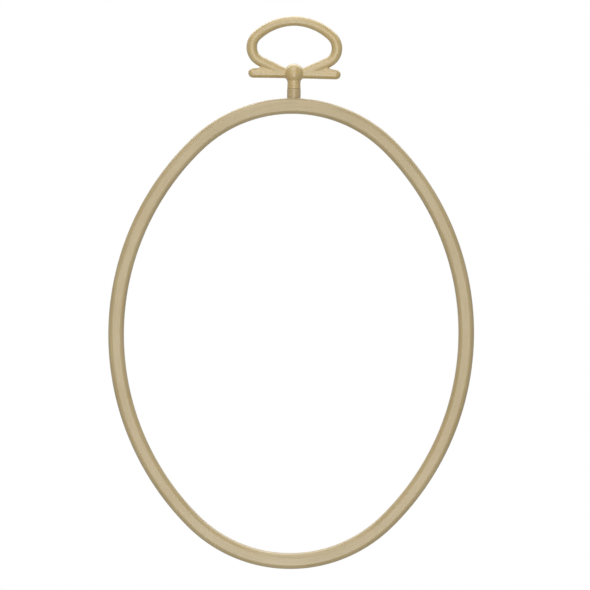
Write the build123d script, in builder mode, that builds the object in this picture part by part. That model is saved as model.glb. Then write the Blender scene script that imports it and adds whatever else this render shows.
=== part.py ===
from build123d import *
import math
import os

# Oval embroidery hoop that holds without a screw. A flexible moulded outer ring snaps over a rigid
# inner ring and grips the cloth between them, and a moulded hanger plugs into a socket on its crown.
# Millimetres. The hoop stands in the XZ plane with its face towards -Y and X across it. The origin
# is where a nail carries it, inside the top of the hanger's loop, at the middle of the hoop's depth.

# Outline of the hoop over the outer ring: two round ends joined by two flatter sides
hoop_width = 140.0
hoop_height = 180.2
end_radius = 55.6

# Outer ring, cut across: a face with two soft shoulders, a lip over the cloth and a wall behind it
band_width = 6.0
ring_depth = 9.5
lip_depth = 2.8
side_wall = 3.0
outer_shoulder = 2.4
inner_shoulder = 1.9
back_edge_chamfer = 0.4
ledge_width = 1.0
ledge_depth = 1.1

# Inner ring, cut across: a plain wall with a grip rib round it and a flange at the back
inner_wall = 1.9
rib_height = 0.4
rib_width = 2.2
rib_crest = 0.6
flange_thickness = 0.8
inner_edge_chamfer = 0.3
cloth_gap = 0.3

# Socket stub that is moulded on the crown of the outer ring
stub_diameter = 5.25
stub_height = 3.7
stub_fillet = 0.4

# Stem of the hanger and the spigot with a barbed head that plugs it in
stem_diameter = 5.05
stem_length = 5.85
stem_foot_chamfer = 0.15
neck_fillet = 1.2
spigot_diameter = 2.2
head_diameter = 3.1
head_tip_diameter = 2.0
head_length = 1.2
head_recess = 0.3
spigot_clearance = 0.05
head_clearance = 0.2
parting_gap = 0.1

# Ball and crossbar of the hanger
ball_diameter = 7.2
bar_diameter = 3.7
bar_length = 35.6
bar_fillet = 0.8

# Loop of the hanger, measured outside and from the axis of the crossbar
loop_width = 36.8
loop_height = 21.9
loop_thickness = 3.9
loop_bend_radius = 5.85
leg_slope = 25.4
leg_root = 3.4

# Web in the corner between each leg and the crossbar. Its outer edge slants from a toe inside the
# crossbar up to the axis of the leg.
web_thickness = 2.4
web_toe = 16.5
web_toe_rise = 1.2
web_top = 10.4

# One overrun for every cut that has to break through a face
cut_overrun = 0.5

# Levels on the Z axis, from the origin down to the middle of the hoop
bar_z = loop_thickness - loop_height
stem_foot_z = bar_z - stem_length
stub_top_z = stem_foot_z - parting_gap
crown_z = stub_top_z - stub_height
hoop_z = crown_z - hoop_height / 2
head_tip_z = crown_z - side_wall + head_recess
head_top_z = head_tip_z + head_length

# Outline of the hoop: the side arcs meet the end arcs without a corner
half_width = hoop_width / 2
half_height = hoop_height / 2
end_offset = half_height - end_radius
side_radius = (half_width**2 + end_offset**2 - end_radius**2) / (2 * (half_width - end_radius))
side_offset = side_radius - half_width
side_turn = math.degrees(math.atan2(end_offset, side_offset))
end_turn = 180 - 2 * side_turn

hoop_plane = Plane(origin=(0, 0, hoop_z), x_dir=(1, 0, 0), z_dir=(0, -1, 0))
with BuildLine(hoop_plane) as hoop_line:
    CenterArc((0, -end_offset), end_radius, 180 + side_turn, end_turn)
    CenterArc((-side_offset, 0), side_radius, -side_turn, 2 * side_turn)
    CenterArc((0, end_offset), end_radius, side_turn, end_turn)
    CenterArc((side_offset, 0), side_radius, 180 - side_turn, 2 * side_turn)

# Both ring sections are drawn at the foot of the hoop: x runs inwards from the outer wall and
# y runs forwards from the middle of the depth
section_plane = Plane(origin=(0, 0, hoop_z - half_height), x_dir=(0, 0, 1), z_dir=(1, 0, 0))
face_y = ring_depth / 2
back_y = -face_y
lip_y = face_y - lip_depth
ledge_y = back_y + ledge_depth
ledge_x = side_wall - ledge_width

os.makedirs("parts", exist_ok=True)

# Outer ring: lip, wall and a ledge at the back where the flange of the inner ring lies
with BuildPart() as outer_ring:
    with BuildSketch(section_plane) as outer_section:
        with BuildLine():
            Polyline(
                (0, face_y),
                (band_width, face_y),
                (band_width, lip_y),
                (side_wall, lip_y),
                (side_wall, ledge_y),
                (ledge_x, ledge_y),
                (ledge_x, back_y),
                (0, back_y),
                close=True,
            )
        make_face()
        fillet(outer_section.vertices().sort_by_distance((0, face_y))[0], outer_shoulder)
        fillet(outer_section.vertices().sort_by_distance((band_width, face_y))[0], inner_shoulder)
        chamfer(outer_section.vertices().sort_by_distance((0, back_y))[0], back_edge_chamfer)
    sweep(path=hoop_line.wire())

    # Socket stub on the crown, rooted in the wall
    with BuildSketch(Plane.XY.offset(crown_z - side_wall / 2)):
        Circle(stub_diameter / 2)
    extrude(amount=side_wall / 2 + stub_height)
    stub_root = outer_ring.edges().filter_by(
        lambda edge: edge.geom_type not in (GeomType.LINE, GeomType.CIRCLE)
    )
    fillet(stub_root, stub_fillet)

    # Bore for the spigot, widened inside the wall for its barbed head
    with Locations(Plane(origin=(0, 0, crown_z - side_wall), z_dir=(0, 0, -1))):
        CounterBoreHole(
            spigot_diameter / 2 + spigot_clearance,
            head_diameter / 2 + head_clearance,
            head_recess + head_length + parting_gap,
            side_wall + stub_height + cut_overrun,
        )
outer_ring.part.label = "outer_ring"
export_step(outer_ring.part, "parts/outer_ring.step")

# Inner ring: its wall stands clear of the outer ring, and the rib round it pinches the cloth
wall_out_x = side_wall + cloth_gap + rib_height
wall_in_x = wall_out_x + inner_wall
front_y = lip_y - cloth_gap
flange_x = ledge_x + cloth_gap
flange_y = back_y + flange_thickness
rib_y = (front_y + flange_y) / 2
with BuildPart() as inner_ring:
    with BuildSketch(section_plane) as inner_section:
        with BuildLine():
            Polyline(
                (wall_out_x, front_y),
                (wall_in_x, front_y),
                (wall_in_x, back_y),
                (flange_x, back_y),
                (flange_x, flange_y),
                (wall_out_x, flange_y),
                (wall_out_x, rib_y - rib_width / 2),
                (wall_out_x - rib_height, rib_y - rib_crest / 2),
                (wall_out_x - rib_height, rib_y + rib_crest / 2),
                (wall_out_x, rib_y + rib_width / 2),
                close=True,
            )
        make_face()
        chamfer(inner_section.vertices().group_by(Axis.X)[-1], inner_edge_chamfer)
    sweep(path=hoop_line.wire())
inner_ring.part.label = "inner_ring"
export_step(inner_ring.part, "parts/inner_ring.step")

# Centre line of the right half of the loop: the leg rises from the crossbar into a tight bend, and
# a flat arc runs on from the bend to the middle of the top
slope = math.radians(leg_slope)
bend_x = (loop_width - loop_thickness) / 2 - loop_bend_radius
leg_length = (bend_x - leg_root + loop_bend_radius * math.sin(slope)) / math.cos(slope)
bend_y = leg_length * math.sin(slope) + loop_bend_radius * math.cos(slope)
top_y = loop_height - loop_thickness / 2
top_reach = top_y - loop_bend_radius
arc_y = (top_reach**2 - bend_x**2 - bend_y**2) / (2 * (top_reach - bend_y))
top_radius = top_y - arc_y
top_turn = math.degrees(math.atan2(bend_x, bend_y - arc_y))

bar_plane = Plane(origin=(0, 0, bar_z), x_dir=(1, 0, 0), z_dir=(0, -1, 0))
with BuildLine(bar_plane) as loop_line:
    leg = PolarLine((leg_root, 0), leg_length, leg_slope)
    bend = JernArc(leg @ 1, leg % 1, loop_bend_radius, 180 - leg_slope - top_turn)
    JernArc(bend @ 1, bend % 1, top_radius, top_turn)

# Right half of the loop, with the web that ties its leg to the crossbar
with BuildPart() as loop_half:
    with BuildSketch(Plane(origin=loop_line.wire() @ 0, z_dir=loop_line.wire() % 0)):
        Circle(loop_thickness / 2)
    sweep(path=loop_line.wire())
    with BuildSketch(bar_plane):
        Polygon(
            (leg_root, 0),
            (web_toe, web_toe_rise),
            (web_top, (web_top - leg_root) * math.tan(slope)),
            align=None,
        )
    extrude(amount=web_thickness / 2, both=True)

# Hanger, one moulding: crossbar, ball, stem, spigot with its head, and the loop
with BuildPart() as hanger:
    # Crossbar with round ends, run into the ball in its middle
    with BuildSketch(bar_plane) as bar_profile:
        SlotOverall(bar_length, bar_diameter)
        Circle(ball_diameter / 2)
        fillet(bar_profile.vertices().group_by(lambda corner: abs(corner.X))[0], bar_fillet)
        split(bisect_by=Plane.XZ, keep=Keep.BOTTOM)
    revolve(axis=Axis((0, 0, bar_z), (1, 0, 0)))

    # Stem below the ball, then the spigot and its barbed head
    with BuildSketch(Plane.XZ):
        with BuildLine():
            Polyline(
                (0, bar_z),
                (stem_diameter / 2, bar_z),
                (stem_diameter / 2, stem_foot_z + stem_foot_chamfer),
                (stem_diameter / 2 - stem_foot_chamfer, stem_foot_z),
                (spigot_diameter / 2, stem_foot_z),
                (spigot_diameter / 2, head_top_z),
                (head_diameter / 2, head_top_z),
                (head_tip_diameter / 2, head_tip_z),
                (0, head_tip_z),
                close=True,
            )
        make_face()
    revolve(axis=Axis.Z)
    neck = hanger.edges().filter_by(GeomType.CIRCLE).filter_by(Plane.XY).sort_by(Axis.Z)[-1]
    fillet(neck, neck_fillet)

    # Both halves of the loop
    add(loop_half.part)
    mirror(loop_half.part, about=Plane.YZ)
hanger.part.label = "hanger"
export_step(hanger.part, "parts/hanger.step")
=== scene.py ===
import math

import bmesh
import bpy
from mathutils import Matrix, Vector


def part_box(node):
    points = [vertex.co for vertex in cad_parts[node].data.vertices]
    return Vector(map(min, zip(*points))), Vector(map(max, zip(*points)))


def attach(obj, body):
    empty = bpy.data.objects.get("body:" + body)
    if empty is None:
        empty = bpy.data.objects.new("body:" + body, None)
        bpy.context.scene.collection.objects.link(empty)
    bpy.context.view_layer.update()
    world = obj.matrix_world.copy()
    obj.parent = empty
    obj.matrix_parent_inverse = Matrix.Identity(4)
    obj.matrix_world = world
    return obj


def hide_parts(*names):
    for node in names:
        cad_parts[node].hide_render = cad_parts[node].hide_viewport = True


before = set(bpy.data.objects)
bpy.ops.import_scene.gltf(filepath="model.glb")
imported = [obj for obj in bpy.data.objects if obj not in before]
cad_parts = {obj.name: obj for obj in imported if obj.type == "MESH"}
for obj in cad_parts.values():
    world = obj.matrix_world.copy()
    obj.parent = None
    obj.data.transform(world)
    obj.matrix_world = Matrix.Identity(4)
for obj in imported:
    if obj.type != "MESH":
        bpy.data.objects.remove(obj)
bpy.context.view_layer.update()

# Outer ring. The flexible vinyl moulding that is seen: a soft-edged face, a lip over the cloth, a
# wall behind it with a ledge at its back, and on the crown the stub that the hanger plugs into.
# It is injection moulded in one piece, and stretches over the inner ring.
ring_low, ring_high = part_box("outer_ring")
face_y, back_y, foot_z = ring_low.y, ring_high.y, ring_low.z
stub_top_z = ring_high.z
stub_height = 0.0037
stub_radius = 0.002625
stub_flare = 0.00045
flare_sink = 0.000099
stub_edge = 0.00008
bore_radius = 0.00115
socket_radius = 0.00175
socket_depth = 0.0016
cut_overrun = 0.0005
lip_width = 0.0060
lip_depth = 0.0028
wall_thickness = 0.0030
ledge_width = 0.0010
ledge_depth = 0.0011
outer_shoulder = 0.0020
inner_shoulder = 0.0019
back_edge = 0.0004
edge_radius = 0.00015
end_radius = 0.0556

# The oval is four arcs. A side arc is centred across the hoop and an end arc on its long axis.
crown_z = stub_top_z - stub_height
hoop_z = (crown_z + foot_z) / 2
half_width = ring_high.x
half_height = crown_z - hoop_z
end_offset = half_height - end_radius
side_radius = (half_width**2 + end_offset**2 - end_radius**2) / (2 * (half_width - end_radius))
side_offset = side_radius - half_width
side_turn = math.atan2(end_offset, side_offset)
end_turn = math.pi - 2 * side_turn


def inset(x, z):
    """How far a point lies inwards from the outer wall of the hoop."""
    x, z = abs(x), abs(z - hoop_z)
    if z * side_offset > (x + side_offset) * end_offset:
        return end_radius - math.hypot(x, z - end_offset)
    return side_radius - math.hypot(x + side_offset, z)


def only(kind, parts):
    """The vertices or the edges among what an operator made."""
    return [part for part in parts if isinstance(part, kind)]


def merged(bm, gap=1e-6):
    """Closes the seams of a mesh and turns its faces outwards."""
    bmesh.ops.remove_doubles(bm, verts=bm.verts, dist=gap)
    bmesh.ops.recalc_face_normals(bm, faces=bm.faces)
    return bm


def spun_hoop(section, step=0.0018):
    """A closed section, given as (inset, y, corner radius, corner segments), run round the oval."""
    bm = bmesh.new()
    corners = [bm.verts.new((0, y, foot_z + x)) for x, y, radius, segments in section]
    bm.faces.new(corners)
    for corner, (x, y, radius, segments) in zip(corners, section):
        bmesh.ops.bevel(
            bm,
            geom=[corner],
            offset=radius,
            segments=segments,
            profile=0.5,
            affect="VERTICES",
            material=-1,
        )
    bmesh.ops.delete(bm, geom=list(bm.faces), context="FACES_ONLY")
    arcs = [
        (0, -end_offset, end_radius, end_turn / 2),
        (-side_offset, 0, side_radius, side_turn * 2),
        (0, end_offset, end_radius, end_turn),
        (side_offset, 0, side_radius, side_turn * 2),
        (0, -end_offset, end_radius, end_turn / 2),
    ]
    moving = list(bm.edges)
    for x, z, radius, turn in arcs:
        spun = bmesh.ops.spin(
            bm,
            geom=moving,
            cent=(x, 0, hoop_z + z),
            axis=(0, -1, 0),
            angle=turn,
            steps=round(radius * turn / step),
        )
        moving = only(bmesh.types.BMEdge, spun["geom_last"])
    return merged(bm)


def turned(profile, steps=72):
    """A profile, given as (radius, z) up the hanger's axis, turned into a solid."""
    bm = bmesh.new()
    points = [bm.verts.new((radius, 0, z)) for radius, z in profile]
    edges = [bm.edges.new(pair) for pair in zip(points, points[1:])]
    bmesh.ops.spin(
        bm,
        geom=points + edges,
        cent=(0, 0, 0),
        axis=(0, 0, 1),
        angle=math.tau,
        steps=steps,
        use_merge=True,
    )
    return merged(bm)


def arc(radius, z, bend, start, stop, segments=6):
    """Points of a profile along a round corner, between two angles in degrees about its centre."""
    for i in range(segments + 1):
        angle = math.radians(start + (stop - start) * i / segments)
        yield radius + bend * math.cos(angle), z + bend * math.sin(angle)


def new_object(name, bm):
    """An object whose mesh is the finished bmesh, which is freed."""
    mesh = bpy.data.meshes.new(name)
    bm.to_mesh(mesh)
    bm.free()
    piece = bpy.data.objects.new(name, mesh)
    bpy.context.scene.collection.objects.link(piece)
    return piece


def apply_modifiers(piece):
    """Makes the shape that a piece's modifiers give it its own mesh."""
    graph = bpy.context.evaluated_depsgraph_get()
    made = bpy.data.meshes.new_from_object(piece.evaluated_get(graph))
    piece.modifiers.clear()
    old, piece.data = piece.data, made
    bpy.data.meshes.remove(old)


def combine(piece, tool, operation):
    """Adds or cuts away another solid, which is used up."""
    step = piece.modifiers.new("combine", "BOOLEAN")
    step.operation = operation
    step.solver = "EXACT"
    step.object = tool
    apply_modifiers(piece)
    bpy.data.objects.remove(tool)
    bm = bmesh.new()
    bm.from_mesh(piece.data)
    merged(bm).to_mesh(piece.data)
    bm.free()


def soften(piece, sharp_angle=35):
    """Smooth shading that keeps flat faces flat and leaves the real corners sharp."""
    piece.data.shade_smooth()
    piece.data.set_sharp_from_angle(angle=math.radians(sharp_angle))
    weights = piece.modifiers.new("flat faces", "WEIGHTED_NORMAL")
    weights.keep_sharp = True
    weights.weight = 100


def mark_inset(piece):
    """Stores how far each point lies inwards from the outer wall, for grain that follows the ring."""
    stored = piece.data.attributes.new("inset", "FLOAT", "POINT")
    stored.data.foreach_set("value", [inset(v.co.x, v.co.z) for v in piece.data.vertices])


ledge_y = back_y - ledge_depth
ledge_x = wall_thickness - ledge_width
lip_y = face_y + lip_depth
outer_section = [
    (0, face_y, outer_shoulder, 12),
    (lip_width, face_y, inner_shoulder, 10),
    (lip_width, lip_y, edge_radius, 3),
    (wall_thickness, lip_y, edge_radius, 3),
    (wall_thickness, ledge_y, edge_radius, 3),
    (ledge_x, ledge_y, edge_radius, 3),
    (ledge_x, back_y, edge_radius, 3),
    (0, back_y, back_edge, 5),
]
outer_ring = new_object("outer_ring_vinyl", spun_hoop(outer_section))

# The stub is rooted in the wall and flares where it meets it, and the flare starts a little low,
# because the crown falls away beside the stub.
flare_radius = stub_radius + stub_flare
stub_profile = [
    (0, crown_z - wall_thickness / 2),
    (flare_radius, crown_z - wall_thickness / 2),
    *arc(flare_radius, crown_z + stub_flare - flare_sink, stub_flare, 270, 180),
    *arc(stub_radius - stub_edge, stub_top_z - stub_edge, stub_edge, 0, 90, segments=3),
    (0, stub_top_z),
]
combine(outer_ring, new_object("stub", turned(stub_profile)), "UNION")

# The bore for the spigot widens inside the wall, where the barbed head catches.
inner_face_z = crown_z - wall_thickness
bore_profile = [
    (0, inner_face_z - cut_overrun),
    (socket_radius, inner_face_z - cut_overrun),
    (socket_radius, inner_face_z + socket_depth),
    (bore_radius, inner_face_z + socket_depth),
    (bore_radius, stub_top_z + cut_overrun),
    (0, stub_top_z + cut_overrun),
]
combine(outer_ring, new_object("bore", turned(bore_profile)), "DIFFERENCE")
soften(outer_ring)
mark_inset(outer_ring)


class Socket:
    """One output of a shader node. A sum written with it adds the Math nodes that work it out."""

    def __init__(self, tree, output=None):
        self.tree = tree
        self.output = output

    def node(self, kind, settings=None, sockets=None):
        """Adds a node: its settings first, then the values or links of its sockets."""
        node = self.tree.nodes.new(kind)
        for name, value in (settings or {}).items():
            setattr(node, name, value)
        for name, value in (sockets or {}).items():
            if isinstance(value, Socket):
                self.tree.links.new(value.output, node.inputs[name])
            else:
                node.inputs[name].default_value = value
        return Socket(self.tree, node.outputs[0] if node.outputs else None)

    def other(self, name):
        """Another output of the same node."""
        return Socket(self.tree, self.output.node.outputs[name])

    def math(self, operation, *values):
        """A Math node on one or two values."""
        return self.node("ShaderNodeMath", {"operation": operation}, dict(enumerate(values)))

    def vector(self, operation, *values):
        """A Vector Math node on one or two vectors."""
        return self.node("ShaderNodeVectorMath", {"operation": operation}, dict(enumerate(values)))

    def mix(self, factor, low, high):
        """A colour between two others."""
        sockets = {0: factor, 6: low, 7: high}
        return self.node("ShaderNodeMix", {"data_type": "RGBA"}, sockets).other(2)

    def between(self, low, high):
        """Rises smoothly from 0 to 1 as the value goes from low to high."""
        settings = {"interpolation_type": "SMOOTHSTEP"}
        sockets = {"Value": self, "From Min": low, "From Max": high}
        return self.node("ShaderNodeMapRange", settings, sockets)

    def __add__(self, other):
        return self.math("ADD", self, other)

    def __sub__(self, other):
        return self.math("SUBTRACT", self, other)

    def __rsub__(self, other):
        return self.math("SUBTRACT", other, self)

    def __mul__(self, other):
        return self.math("MULTIPLY", self, other)

    __radd__ = __add__
    __rmul__ = __mul__


def new_finish(name):
    """An empty material, and a Socket to build its nodes with."""
    material = bpy.data.materials.new(name)
    material.use_nodes = True
    material.node_tree.nodes.clear()
    return material, Socket(material.node_tree)


def noise(shader, place, scale, detail=2.0, w=0.0):
    """Noise about 0.5, with features about 1 / scale across. Another w gives another noise."""
    sockets = {"Vector": place, "Scale": scale, "Detail": detail, "W": w}
    return shader.node("ShaderNodeTexNoise", {"noise_dimensions": "4D"}, sockets)


def ring_flow(shader, place):
    """Streaks drawn out along the ring, as the melt ran round the mould."""
    streak_length = 0.014
    streak_width = 0.0006

    # The direction from the middle of the hoop tells places along the ring apart, and the inset
    # and the depth tell those across it apart.
    outwards = shader.vector("NORMALIZE", shader.vector("SUBTRACT", place, (0, 0, hoop_z)))
    heading = shader.node("ShaderNodeSeparateXYZ", sockets={0: outwards})
    depth = shader.node("ShaderNodeSeparateXYZ", sockets={0: place}).other("Y")
    across = shader.node("ShaderNodeAttribute", {"attribute_name": "inset"}).other("Fac")
    sockets = {
        "X": heading * (half_height / streak_length),
        "Y": heading.other("Z") * (half_height / streak_length),
        "Z": across * (1 / streak_width),
    }
    flow = shader.node("ShaderNodeCombineXYZ", sockets=sockets)
    return noise(shader, flow, 1.0, w=depth * (1 / streak_width))


def moulded(name, flow, pale, deep, warm, roughness, index):
    """Satin moulded plastic: streaks of flow, a slow drift of colour and a faintly uneven skin."""
    material, shader = new_finish(name)
    place = shader.node("ShaderNodeTexCoord").other("Object")
    streaks = flow(shader, place)
    drift = noise(shader, place, 60.0, w=3.0)
    warmth = noise(shader, place, 110.0, w=11.0)
    skin = noise(shader, place, 350.0, 0.0, w=7.0)
    tone = streaks * 0.55 + drift * 0.45
    colour = shader.mix(tone.between(0.36, 0.64), deep, pale)
    colour = shader.mix(warmth.between(0.45, 0.75) * 0.5, colour, warm)
    relief = {"Strength": 0.10, "Distance": 0.00006, "Height": skin * 0.7 + streaks * 0.3}
    sockets = {
        "Base Color": colour,
        "Roughness": roughness + (streaks - 0.5) * 0.12,
        "IOR": index,
        "Normal": shader.node("ShaderNodeBump", sockets=relief),
    }
    surface = shader.node("ShaderNodeBsdfPrincipled", sockets=sockets)
    shader.node("ShaderNodeOutputMaterial", sockets={0: surface})
    return material


ring_vinyl = moulded(
    "ring vinyl",
    ring_flow,
    pale=(0.344, 0.271, 0.142, 1),
    deep=(0.296, 0.227, 0.105, 1),
    warm=(0.342, 0.248, 0.123, 1),
    roughness=0.34,
    index=1.53,
)
outer_ring.data.materials.clear()
outer_ring.data.materials.append(ring_vinyl)
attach(outer_ring, "outer_ring")
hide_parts("outer_ring")

# Inner ring. The rigid plastic moulding that the cloth is laid over: a plain wall with a grip rib
# round its outside and a flange at the back, which beds on the ledge of the outer ring.
inner_low, inner_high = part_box("inner_ring")
cloth_gap = 0.0003
rib_height = 0.0004
rib_width = 0.0022
rib_crest = 0.0006
inner_wall = 0.0019
flange_thickness = 0.0008
inner_edge = 0.0003
crease = 0.0001

wall_out = wall_thickness + cloth_gap + rib_height
wall_in = wall_out + inner_wall
flange_x = ledge_x + cloth_gap
flange_y = inner_high.y - flange_thickness
rib_y = (inner_low.y + flange_y) / 2
inner_section = [
    (wall_out, inner_low.y, edge_radius, 3),
    (wall_in, inner_low.y, inner_edge, 5),
    (wall_in, inner_high.y, inner_edge, 5),
    (flange_x, inner_high.y, edge_radius, 3),
    (flange_x, flange_y, edge_radius, 3),
    (wall_out, flange_y, crease, 2),
    (wall_out, rib_y + rib_width / 2, crease, 2),
    (wall_out - rib_height, rib_y + rib_crest / 2, crease, 2),
    (wall_out - rib_height, rib_y - rib_crest / 2, crease, 2),
    (wall_out, rib_y - rib_width / 2, crease, 2),
]
inner_ring = new_object("inner_ring_plastic", spun_hoop(inner_section))
soften(inner_ring)
mark_inset(inner_ring)

inner_plastic = moulded(
    "inner plastic",
    ring_flow,
    pale=(0.370, 0.288, 0.140, 1),
    deep=(0.335, 0.254, 0.112, 1),
    warm=(0.370, 0.270, 0.128, 1),
    roughness=0.30,
    index=1.55,
)
inner_ring.data.materials.append(inner_plastic)
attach(inner_ring, "inner_ring")
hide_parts("inner_ring")

# Hanger. One rigid plastic moulding: a loop to hang the hoop by, a crossbar with a ball in its
# middle, and a stem with a barbed spigot that snaps into the stub and lets the hanger swivel.
hanger_low, hanger_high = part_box("hanger")
tube_radius = 0.00195
tube_side = 0.00206
tube_top = 0.00182
loop_height = 0.0219
lower_bend = 0.00585
right_bend = 0.0062
left_bend = 0.0058
right_rise = 0.00965
left_rise = 0.0099
leg_root = 0.0034
ball_radius = 0.00378
bar_radius = 0.00185
bar_left = 0.0176
bar_right = 0.0179
bar_droop = 0.0003
web_thickness = 0.0024
web_toe = 0.0165
web_toe_rise = 0.0012
web_top = 0.0099
web_top_rise = 0.0030
stem_radius = 0.002525
stem_foot_height = 0.0012
stem_foot_chamfer = 0.00008
stem_seam = 0.0002
neck_radius = 0.0012
spigot_radius = 0.0011
head_radius = 0.00155
head_tip_radius = 0.0010
head_length = 0.0012
parting_gap = 0.00005
tube_segments = 40
leg_steps = 20
bend_steps = 10
top_steps = 20

# The upper parts become one skin, built up from small cubes and then smoothed. Smoothing draws a
# surface in a little, so the tubes start that much too thick, and the ball and stem half as much.
cube_size = 0.00015
smoothing_passes = 20
smoothing_loss = 0.00003

# Centre line of the loop: straight legs that spread from the ball, a bend on each side, and a flat
# top. The right bend stands a little lower than the left, and opens out a little towards the top.
# Heights along it are counted from the axis of the crossbar.
bar_z = hanger_high.z - loop_height
stem_foot_z = stub_top_z + parting_gap
reach_x = hanger_high.x - tube_radius
top_rise = loop_height - tube_radius
lower_x = reach_x - lower_bend
right_x = reach_x - right_bend
left_x = reach_x - left_bend


def loop_side(rise, upper_x):
    """Slope and length of the leg on one side, and the centre height and turn of its half top."""
    reach = math.hypot(lower_x - leg_root, rise)
    slope = math.atan2(rise, lower_x - leg_root) - math.asin(lower_bend / reach)
    length = math.sqrt(reach**2 - lower_bend**2)
    top_reach = top_rise - reach_x + upper_x
    centre = (top_reach**2 - upper_x**2 - rise**2) / (2 * (top_reach - rise))
    return slope, length, centre, math.atan2(upper_x, rise - centre)


def towards(heading):
    """A step of 1 in the plane of the hoop, at an angle counted up from the right."""
    return Vector((math.cos(heading), 0, math.sin(heading)))


def loop_tube():
    """The loop as a closed tube, swept from one root over the top to the other."""
    right_slope, right_length, right_centre, right_turn = loop_side(right_rise, right_x)
    left_slope, left_length, left_centre, left_turn = loop_side(left_rise, left_x)
    quarter = math.pi / 2
    bm = bmesh.new()
    root = Matrix.Translation((leg_root, 0, bar_z)) @ Matrix.Rotation(quarter - right_slope, 4, "Y")
    radius = tube_radius + smoothing_loss
    bmesh.ops.create_circle(bm, segments=tube_segments, radius=radius, matrix=root)
    moving = list(bm.edges)

    def run(**path):
        nonlocal moving
        spun = bmesh.ops.spin(bm, geom=moving, **path)
        moving = only(bmesh.types.BMEdge, spun["geom_last"])

    def straight(heading, length):
        step = towards(heading) * (length / leg_steps)
        run(cent=(0, 0, 0), axis=(0, -1, 0), dvec=step, angle=0, steps=leg_steps)

    def bend(x, rise, radius, start, stop, steps, growth):
        """A bend between two headings, whose outside stays true while the tube swells or thins."""
        centre = Vector((x, 0, bar_z + rise))
        size = growth ** (1 / steps)
        for i in range(1, steps + 1):
            run(cent=centre, axis=(0, -1, 0), angle=(stop - start) / steps, steps=1)
            outside = towards(start + (stop - start) * i / steps) * (radius + tube_radius)
            corners = list({corner for edge in moving for corner in edge.verts})
            about = Matrix.Translation(-(centre + outside))
            bmesh.ops.scale(bm, vec=(size, size, size), space=about, verts=corners)

    swell = tube_side / tube_radius
    thinning = tube_top / tube_radius
    shoulder = quarter - right_turn
    straight(right_slope, right_length)
    bend(lower_x, right_rise, lower_bend, right_slope - quarter, 0, bend_steps, swell)
    bend(right_x, right_rise, right_bend, 0, shoulder, bend_steps, 1 / swell)
    bend(0, right_centre, top_rise - right_centre, shoulder, quarter, top_steps, thinning)
    shoulder = quarter + left_turn
    bend(0, left_centre, top_rise - left_centre, quarter, shoulder, top_steps, 1 / thinning)
    bend(-left_x, left_rise, left_bend, shoulder, 2 * quarter, bend_steps, swell)
    bend(-lower_x, left_rise, lower_bend, 2 * quarter, 3 * quarter - left_slope, bend_steps, 1 / swell)
    straight(-left_slope, left_length)
    bmesh.ops.holes_fill(bm, edges=bm.edges)
    return merged(bm)


def half_bar(end_x, droop):
    """Half of the crossbar, out to its round end, which may hang a little lower."""
    reach = Vector((end_x - math.copysign(bar_radius, end_x), 0, -droop))
    lean = reach.to_track_quat("Z", "Y").to_matrix().to_4x4()
    centre = Vector((0, 0, bar_z))
    radius = bar_radius + smoothing_loss
    bm = bmesh.new()
    bmesh.ops.create_cone(
        bm,
        cap_ends=True,
        segments=tube_segments,
        radius1=radius,
        radius2=radius,
        depth=reach.length,
        matrix=Matrix.Translation(centre + reach / 2) @ lean,
    )
    bmesh.ops.create_uvsphere(
        bm,
        u_segments=tube_segments,
        v_segments=tube_segments // 2,
        radius=radius,
        matrix=Matrix.Translation(centre + reach) @ lean,
    )
    return bm


def web(side):
    """The thin web in the corner between a leg and the crossbar, on the right (1) or left (-1)."""
    outline = [(leg_root, 0), (web_toe, web_toe_rise), (web_top, web_top_rise)]
    bm = bmesh.new()
    corners = [bm.verts.new((side * x, -web_thickness / 2, bar_z + z)) for x, z in outline]
    face = bm.faces.new(corners)
    grown = bmesh.ops.extrude_face_region(bm, geom=[face], use_keep_orig=True)
    moved = only(bmesh.types.BMVert, grown["geom"])
    bmesh.ops.translate(bm, vec=(0, web_thickness, 0), verts=moved)
    return merged(bm)


def take_in(bm, part):
    """Adds a part to a mesh, beside what is there, and frees it."""
    mesh = bpy.data.meshes.new("part")
    part.to_mesh(mesh)
    part.free()
    bm.from_mesh(mesh)
    bpy.data.meshes.remove(mesh)


# The ball, its neck and the stem, turned. The neck is an arc that touches ball and stem.
neck_reach = stem_radius + neck_radius
neck_drop = math.sqrt((ball_radius + neck_radius) ** 2 - neck_reach**2)
neck_angle = math.degrees(math.atan2(neck_drop, neck_reach))
ball_profile = [
    *arc(0, bar_z, ball_radius + smoothing_loss / 2, 90, -neck_angle, segments=24),
    *arc(neck_reach, bar_z - neck_drop, neck_radius, 180 - neck_angle, 180, segments=8),
    (stem_radius + smoothing_loss / 2, stem_foot_z),
    (0, stem_foot_z),
]
upper_parts = [
    loop_tube(),
    turned(ball_profile, steps=64),
    web(1),
    web(-1),
    half_bar(bar_right, bar_droop),
    half_bar(-bar_left, 0),
]
body = bmesh.new()
for part in upper_parts:
    take_in(body, part)
hanger = new_object("hanger_plastic", body)
skin = hanger.modifiers.new("one skin", "REMESH")
skin.mode = "VOXEL"
skin.voxel_size = cube_size
apply_modifiers(hanger)

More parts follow.
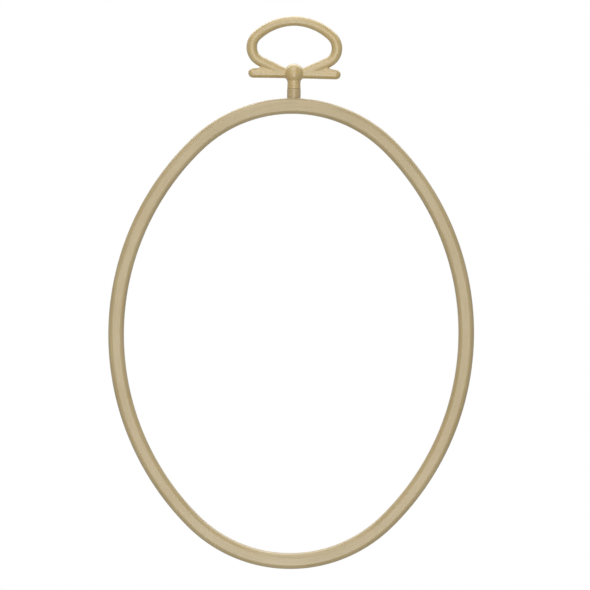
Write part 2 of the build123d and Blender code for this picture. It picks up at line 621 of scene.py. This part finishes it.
# Smoothing rounds the inside corners, as the mould does. The foot of the stem, the spigot and its
# head stay crisp: they are turned, and a short seam joins them to the skin, which is cut above them.
bm = bmesh.new()
bm.from_mesh(hanger.data)
for i in range(smoothing_passes):
    bmesh.ops.smooth_vert(
        bm, verts=bm.verts, factor=0.5, use_axis_x=True, use_axis_y=True, use_axis_z=True
    )
skin_end_z = stem_foot_z + stem_foot_height
bmesh.ops.bisect_plane(
    bm,
    geom=list(bm.verts) + list(bm.edges) + list(bm.faces),
    plane_co=(0, 0, skin_end_z),
    plane_no=(0, 0, 1),
    clear_inner=True,
)
head_top_z = hanger_low.z + head_length
foot_profile = [
    (stem_radius, skin_end_z - stem_seam),
    (stem_radius, stem_foot_z + stem_foot_chamfer),
    (stem_radius - stem_foot_chamfer, stem_foot_z),
    (spigot_radius, stem_foot_z),
    (spigot_radius, head_top_z),
    (head_radius, head_top_z),
    (head_tip_radius, hanger_low.z),
    (0, hanger_low.z),
]
take_in(bm, turned(foot_profile, steps=144))
rims = [edge for edge in bm.edges if edge.is_boundary]
bmesh.ops.bridge_loops(bm, edges=rims)
merged(bm, gap=1e-7).to_mesh(hanger.data)
bm.free()
hanger.data.shade_smooth()
hanger.data.set_sharp_from_angle(angle=math.radians(40))


def hanger_flow(shader, place):
    """Soft patches about as wide as the tubes, where the melt met and folded."""
    return noise(shader, place, 300.0, 1.0, w=5.0)


# The hanger's colours are brighter, warmer and more saturated than the ring's. This is partly its own
# colour and partly a painted glow that stands in for light coming through its thin plastic.
hanger_plastic = moulded(
    "hanger plastic",
    hanger_flow,
    pale=(0.385, 0.292, 0.127, 1),
    deep=(0.345, 0.255, 0.099, 1),
    warm=(0.395, 0.275, 0.115, 1),
    roughness=0.34,
    index=1.64,
)
hanger.data.materials.append(hanger_plastic)
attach(hanger, "hanger")
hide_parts("hanger")

# Stage. A pale floor below the hoop, soft lamps in front of it, above it and behind it, and an
# even white surround, which lights the hoop itself only at the strength of ambient.
floor_gap = 0.25
floor_radius = 1.2
floor_glow = 0.56
ambient = 0.25


def seen(shader):
    """1 for a ray that shows the surround, straight or mirrored, and 0 for one that gathers light."""
    path = shader.node("ShaderNodeLightPath")
    mirrored = shader.math("MAXIMUM", path.other("Is Glossy Ray"), path.other("Is Transmission Ray"))
    return shader.math("MAXIMUM", path.other("Is Camera Ray"), mirrored)


bm = bmesh.new()
floor_place = Matrix.Translation((0, 0, foot_z - floor_gap))
bmesh.ops.create_circle(bm, cap_ends=True, segments=96, radius=floor_radius, matrix=floor_place)
floor = new_object("floor", bm)
material, shader = new_finish("floor")
sockets = {
    "Base Color": (0.3, 0.3, 0.3, 1),
    "Roughness": 0.9,
    "Emission Color": (1, 1, 1, 1),
    "Emission Strength": seen(shader) * floor_glow,
}
surface = shader.node("ShaderNodeBsdfPrincipled", sockets=sockets)
shader.node("ShaderNodeOutputMaterial", sockets={0: surface})
floor.data.materials.append(material)

world = bpy.data.worlds.new("studio")
bpy.context.scene.world = world
world.use_nodes = True
world.node_tree.nodes.clear()
shader = Socket(world.node_tree)
sockets = {"Color": (1, 1, 1, 1), "Strength": seen(shader) * (1 - ambient) + ambient}
surface = shader.node("ShaderNodeBackground", sockets=sockets)
shader.node("ShaderNodeOutputWorld", sockets={0: surface})


def soft_lamp(name, place, width, height, share):
    """A lamp that faces the hoop and lights a face turned to it by about that share of white."""
    light = bpy.data.lights.new(name, "AREA")
    light.shape = "RECTANGLE"
    light.size = width
    light.size_y = height
    away = Vector(place)
    light.energy = share * math.pi**2 * away.length_squared
    lamp = bpy.data.objects.new(name, light)
    lamp.location = away + Vector((0, 0, hoop_z))
    lamp.rotation_euler = (-away).to_track_quat("-Z", "Y").to_euler()
    lamp.visible_camera = False
    bpy.context.scene.collection.objects.link(lamp)


soft_lamp("front light", (0, -1.8, 0), 1.1, 1.1, 0.38)
soft_lamp("low front light", (0, -0.62, -0.3), 0.26, 0.12, 0.30)
soft_lamp("upper front light", (-0.25, -1.3, 1.3), 1.2, 1.2, 0.48)
soft_lamp("top light", (0, 0, 2), 1.6, 1.6, 0.40)
soft_lamp("back light", (0, 1.0, 1.7), 4.0, 1.0, 1.3)

# Camera. Level and square to the face of the hoop, with a long lens, and turned a little, because
# the hoop hangs a little askew in the picture.
camera_distance = 1.25
frame_width = 0.22583
aim_right = 0.00130
aim_forward = 0.00235
aim_up = 0.01478
roll = math.radians(-0.64)
aim = Vector((aim_right, -aim_forward, hoop_z + aim_up))
lens = bpy.data.cameras.new("camera")
lens.lens = lens.sensor_width * camera_distance / frame_width
camera = bpy.data.objects.new("camera", lens)
camera.location = aim + Vector((0, -camera_distance, 0))
camera.rotation_euler = (math.pi / 2, roll, 0)
bpy.context.scene.collection.objects.link(camera)
bpy.context.scene.camera = camera
bpy.context.scene.view_settings.view_transform = "Standard"
